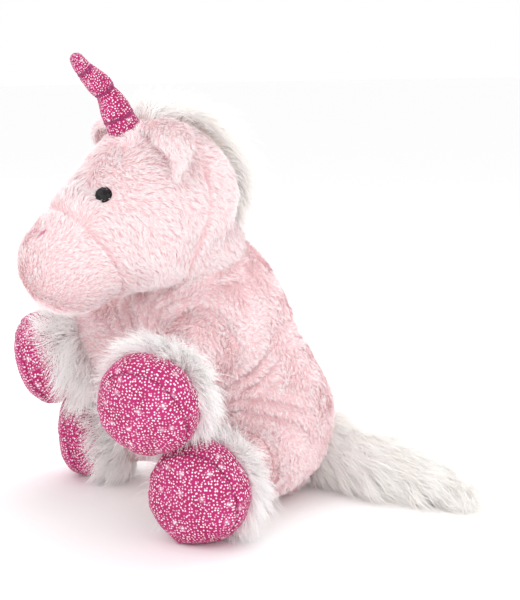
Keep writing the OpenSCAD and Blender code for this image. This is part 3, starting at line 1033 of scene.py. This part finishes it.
def make_nostrils():
    """Five stitches side by side, drawn down into a dimple."""
    stitches = []
    for side in SIDES:
        for row in range(5):
            t = np.linspace(-1, 1, 9)
            turn = math.radians(18 * SIDES[side])
            across = vec(math.cos(turn), math.sin(turn), 0)
            up = unit(np.cross(across, vec(math.sin(turn), -math.cos(turn), 0.8)))
            if up[2] < 0:
                up = -up
            centre = NOSTRIL * vec(SIDES[side], 1, 1)
            path = centre + np.outer(t * (3.8 - 0.35 * abs(row - 2)), up + 0.25 * across)
            path = path + across * (row - 2) * 0.55
            path = onto(head_field, path, 8)
            path = path + np.outer(0.9 - 1.2 * np.abs(t) ** 3, unit(slope(head_field, path).mean(0)))
            stitch = tube("%s_nostril_stitch_%d" % (side, row + 1), path, 0.42, 6)
            stitches.append(paint(stitch, NOSTRIL_THREAD))
    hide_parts("nostril_stitches")
    fix(stitches, "head")


FOIL_THREAD = thread_material("magenta_thread", (0.42, 0.02, 0.17))
NOSTRIL_THREAD = thread_material("deep_pink_thread", (0.72, 0.20, 0.36))
SEAM_THREAD = thread_material("pink_thread", (0.86, 0.50, 0.53))


# ---------------------------------------------------------------- ears

EAR_CURL = vec(20, 0, -10)


def ear_world(side, q):
    s, c, out = math.sin(EAR_TILT), math.cos(EAR_TILT), SIDES[side]
    axes = np.array([[out * c, 0, -s], [0, 1, 0], [out * s, 0, c]])
    return hinge_place(side + "_ear_flop") + q @ axes


def ear_shape(q, radius, half, length, width):
    """A leaf cut from a curled sheet."""
    p = q - EAR_CURL
    sheet = np.abs(np.linalg.norm(p, axis=1) - radius) - half
    bow = (length ** 2 / 4 + width ** 2 / 4) / width
    leaf = np.maximum(np.hypot(p[:, 0], p[:, 1] - (bow - width / 2)) - bow,
                      np.hypot(p[:, 0], p[:, 1] + (bow - width / 2)) - bow)
    f = cut(sheet, leaf, 3.0)
    return cut(f, -4 - p[:, 2], 3.0)


def make_ears():
    """Each ear's folded flap with its pile, and the lining inside it."""
    for number, side in enumerate(SIDES):
        flip = slice(None, None, -1) if side == "right" else slice(None)

        def skin_field(q):
            f = ear_shape(q, 22.6, 2.3, 49, 29)
            f = melt(f, taper(q, vec(-1, -9, 0), vec(-1, 9, 0), 3.6, 3.6), 3)
            return f + 0.5 * noise(q, 9, 95 + number)

        points, quads = skin_mesh(skin_field, (-9, -22, -20), (48, 22, 20), 1.7)
        surface = (ear_world(side, points), quads[:, flip])
        skin = paint(mesh_object(side + "_ear_skin", *surface), PINK_BACKING)
        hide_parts(side + "_ear")
        centre = ear_world(side, EAR_CURL[None])[0]

        def keep(p, n):
            outward = (n * unit(p - centre)).sum(1)
            return np.where(outward > -0.35, 1.0, 0.12)

        def comb(p, n):
            out = SIDES[side]
            return np.tile(vec(out * 0.6, 0.1, -0.8), (len(p), 1)) + 0.4 * drift(p, 14, 97)

        pile = fur(side + "_ear_pile", surface, EAR_SHADES, 300 + 7 * number, density=2.4, length=5.5,
                   comb=comb, keep=keep, lean=0.8, clump_size=4)
        fix([skin] + pile, side + "_ear_flap")

        def lining_field(q):
            return ear_shape(q, 19.4, 0.7, 40, 22) + 0.25 * noise(q, 5, 96)

        points, quads = skin_mesh(lining_field, (-6, -18, -18), (46, 18, 16), 1.3)
        lining = mesh_object(side + "_ear_lining_cloth", ear_world(side, points), quads[:, flip])
        paint(lining, LINING)
        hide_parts(side + "_ear_lining")
        fix([lining], side + "_ear_flap")


EAR_SHADES = [PINK_SHADES[4], *PINK_SHADES[1:], WHITE_SHADES[4]]


# ---------------------------------------------------------------- mane and tail

def make_mane():
    """A woven strip over the crown and down the nape, with long pile."""
    half, turns, across = 12.5, 56, 9
    angle = np.radians(np.linspace(103, -12, turns))
    x = np.linspace(-half, half, across)
    a, w = np.meshgrid(angle, x, indexing="ij")
    reach = np.sqrt(56.8 ** 2 - w ** 2) + 0.6 * np.cos(w / half * math.pi / 2)
    points = np.stack([w, SKULL[1] + 1 + reach * np.cos(a), SKULL[2] + reach * np.sin(a)], -1).reshape(-1, 3)
    quads = grid_quads(turns, across, closed_columns=False)
    normals, _, _ = point_normals(points, quads)
    if (normals * (points - SKULL)).sum() < 0:
        quads = quads[:, ::-1]
    strip = paint(mesh_object("mane_strip", points, quads), WHITE_BACKING)
    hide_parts("mane")

    def comb(p, n):
        back = np.cross(n, vec(1, 0, 0))
        back = back * np.sign(back[:, 1:2] - 2 * back[:, 2:3] + 1e-6)
        side = p[:, :1] / half
        return unit(back) + np.hstack([0.35 * side, 0 * side, 0 * side - 0.25])

    def size(p, n):
        return 1 + 0.25 * np.clip((n[:, 2] - 0.3) / 0.6, 0, 1) - 0.45 * np.clip((0.45 - n[:, 2]) / 0.5, 0, 1)

    pile = fur("mane_pile", (points, quads), CREAM_SHADES, 400, density=2.5, length=31, length_at=size,
               width=0.5, steps=6, comb=comb, lean=0.6, clump=0.8, clump_size=8, curl=0.45, sag=0.22,
               wave=0.07, spread=0.13, tumble=1.6)
    fix([strip] + pile, "head_rigid")


TAIL_BEND = (vec(13, 56, 36), vec(20, 62, 26), vec(52, 77, 20), vec(92, 96, 13), vec(118, 109, 9))
TAIL_RADII = (17, 17, 16, 12, 7)


def tail_field(p):
    f = None
    for a, b, ra, rb in zip(TAIL_BEND, TAIL_BEND[1:], TAIL_RADII, TAIL_RADII[1:]):
        part = taper(p, a, b, ra, rb)
        f = part if f is None else melt(f, part, 3)
    return cut(f + 0.7 * noise(p, 11, 101), 1.5 - p[:, 2], 4)


def make_tail():
    """The tail's cover, its long pile, and the stuffing."""
    surface = skin_mesh(tail_field, (-8, 34, 0), (132, 122, 58), 2.8)
    skin = paint(mesh_object("tail_skin", *surface), WHITE_BACKING)
    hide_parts("tail_cover")
    run = unit(TAIL_BEND[-1] - TAIL_BEND[1])

    def comb(p, n):
        return run + vec(0, 0, -0.12) + 0.3 * drift(p, 20, 103)

    def keep(p, n):
        return ((p - TAIL_ROOT) @ run > -14).astype(float)

    def size(p, n):
        ahead = (p - TAIL_ROOT) @ run
        return np.interp(ahead, (0, 40, 105), (0.8, 1.0, 0.72))

    pile = fur("tail_pile", surface, CREAM_SHADES, 420, density=1.9, length=34, width=0.5, steps=6, comb=comb,
               keep=keep, length_at=size, lean=0.88, clump=0.8, clump_size=9, curl=0.35, sag=0.20, wave=0.08,
               spread=0.08, tumble=1.0)
    fix([skin] + pile, "tail")
    stuffing("tail_stuffing", "tail_filling", "tail_rigid", lambda p: tail_field(p) + 4, (-8, 34, 0),
             (132, 122, 58), 3.6)


# ---------------------------------------------------------------- what is inside

def stuffing(name, node, body, field, low, high, step=5.0):
    """Tufts of fibre packed into a lumpy mass."""
    points, quads = skin_mesh(lambda p: field(p) + 1.3 * noise(p, 9, 111) + 0.7 * noise(p, 4, 112),
                              low, high, step)
    piece = paint(mesh_object(name, points, quads), STUFFING)
    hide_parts(node)
    fix([piece], body)
    return piece


POUCH, POUCH_RADII = vec(0, 14, 16), (21.5, 21.5, 9.4)
BEAD_GAP, BEAD_R = 3.1, 1.4


def make_inside():
    """Stuffing, the pellet pouch, and the seat panel with its seam."""
    stuffing("body_stuffing", "body_filling", "torso",
             lambda p: cut(torso_base(p) + 9, -egg(p, POUCH, (25, 25, 12)), 2), (-70, -100, 4), (70, 68, 200))
    stuffing("neck_stuffing", "neck_filling", "neck", lambda p: ball(p, NECK, 22), NECK - 26, NECK + 26, 4)
    stuffing("head_stuffing", "head_filling", "head",
             lambda p: cut(head_base(p) + 6.5, -ball(p, NECK, 26), 2), (-60, -188, 140), (60, -14, 288))
    for name, (root, along, _, _) in LIMBS.items():
        def field(p):
            q = limb_place(name, p)
            f = taper(q, vec(0, 0, 6), vec(0, 0, 60), 19, 17)
            return melt(f, egg(q, vec(0, 0, HOOF_REACH), (29, 29, 17)), 8)
        middle = root + 48 * along
        leg = name + "_leg"
        stuffing(leg + "_stuffing", leg + "_filling", leg, field, middle - 85, middle + 85)
    points, quads = skin_mesh(lambda p: egg(p, POUCH, POUCH_RADII) + 0.5 * noise(p, 7, 113),
                              POUCH - 25, POUCH + 25, 2.2)
    pouch = paint(mesh_object("pouch_cloth", points, quads), POUCH_WEAVE)
    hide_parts("pellet_pouch")
    fix([pouch], "torso")
    make_beads()
    profile = [(0, 0.3), (25, 0.3), (26, 0.9), (25.2, 1.5), (12, 1.9), (0, 2.0)]
    seat = paint(lathe("seat_cloth", profile, vec(0, 0, 0), vec(0, 0, 1)), PINK_BACKING)
    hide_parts("seat_panel")
    turn = np.arange(150) / 150 * 2 * math.pi
    ring = np.stack([26 * np.cos(turn), 26 * np.sin(turn), 0.8 + 0.25 * np.sin(30 * turn)], 1)
    seam = paint(tube("seat_seam", ring, 0.45, 6, closed=True), SEAM_THREAD)
    fix([seat], "torso_rigid")
    fix([seam], "torso_rigid")


def make_beads():
    """Loose round pellets that fill the pouch."""
    rng = np.random.default_rng(120)
    grid = np.stack(np.meshgrid(*[np.arange(-22, 23, BEAD_GAP)] * 3, indexing="ij"), -1).reshape(-1, 3)
    grid = grid + rng.uniform(-0.12, 0.12, grid.shape)
    grid = grid[egg(grid, vec(0, 0, 0), POUCH_RADII) < -2.6] + POUCH
    golden = (1 + 5 ** 0.5) / 2
    ball_points = unit(np.array([[a, b * golden, 0] for a in (-1, 1) for b in (-1, 1)]
                                + [[0, a, b * golden] for a in (-1, 1) for b in (-1, 1)]
                                + [[a * golden, 0, b] for a in (-1, 1) for b in (-1, 1)]))
    faces = [(i, j, k) for i in range(12) for j in range(i) for k in range(j)
             if all(np.linalg.norm(ball_points[a] - ball_points[b]) < 1.2
                    for a, b in ((i, j), (j, k), (k, i)))]
    faces = np.array([f if np.linalg.det(ball_points[list(f)]) > 0 else f[::-1] for f in faces])
    points = (grid[:, None, :] + BEAD_R * ball_points[None]).reshape(-1, 3)
    all_faces = (faces[None] + 12 * np.arange(len(grid))[:, None, None]).reshape(-1, 3)
    beads = paint(mesh_object("pellet_beads", points, all_faces), BEADS)
    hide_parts("pellets")
    fix([beads], "torso_rigid")


BEADS = plastic_material("bead_plastic", (0.86, 0.86, 0.84))
POUCH_WEAVE = cloth_backing("pouch_weave", (0.70, 0.69, 0.66), (0.84, 0.83, 0.80), 0.8)


# ---------------------------------------------------------------- camera, light and floor

def aim_at(obj, place, target):
    obj.location = place
    obj.rotation_euler = (Vector(target) - Vector(place)).to_track_quat("-Z", "Y").to_euler()


def make_stage():
    target = Vector((0, 0.008, 0.148))
    azimuth, elevation, away = math.radians(60), math.radians(10), 1.15
    back = Vector((math.sin(azimuth) * math.cos(elevation), -math.cos(azimuth) * math.cos(elevation),
                   math.sin(elevation)))
    camera = bpy.data.objects.new("camera", bpy.data.cameras.new("camera"))
    camera.data.lens = 90
    bpy.context.scene.collection.objects.link(camera)
    aim_at(camera, target + back * away, target)
    bpy.context.scene.camera = camera

    floor = mesh_object("floor", np.array([[-9000, -9000, 0], [9000, -9000, 0], [9000, 9000, 0],
                                           [-9000, 9000, 0]], float), np.array([[0, 1, 2, 3]]))
    paint(floor, principled("floor_paper", (0.98, 0.98, 0.98), 0.9))

    world = bpy.data.worlds.new("soft_room")
    bpy.context.scene.world = world
    world.use_nodes = True
    world.node_tree.nodes["Background"].inputs["Color"].default_value = (1, 1, 1, 1)
    world.node_tree.nodes["Background"].inputs["Strength"].default_value = 1.0

    right = Vector((math.cos(azimuth), math.sin(azimuth), 0))
    for name, place, size, power in (
            ("key", target + back * 0.5 - right * 0.8 + Vector((0, 0, 0.9)), 1.0, 2),
            ("fill", target + back * 0.9 + right * 0.9 + Vector((0, 0, 0.4)), 1.2, 2.2),
            ("low", target + back * 1.1 - right * 0.3, 1.2, 3.2),
            ("rim", target - back * 0.9 + right * 0.9 + Vector((0, 0, 0.8)), 1.0, 4),
            ("top", target - back * 0.5 + Vector((0, 0, 1.3)), 1.0, 4)):
        light = bpy.data.objects.new(name, bpy.data.lights.new(name, "AREA"))
        light.data.size = size
        light.data.energy = power
        bpy.context.scene.collection.objects.link(light)
        aim_at(light, place, target)
    bpy.context.scene.view_settings.view_transform = "Standard"
    bpy.context.scene.cycles.max_bounces = 14
    bpy.context.scene.cycles.diffuse_bounces = 10


make_stage()
make_torso()
make_head()
for number, name in enumerate(LIMBS):
    make_leg(name, 100 + 20 * number)
make_horn()
make_eyes()
make_nostrils()
make_ears()
make_mane()
make_tail()
make_inside()

bpy.context.view_layer.update()
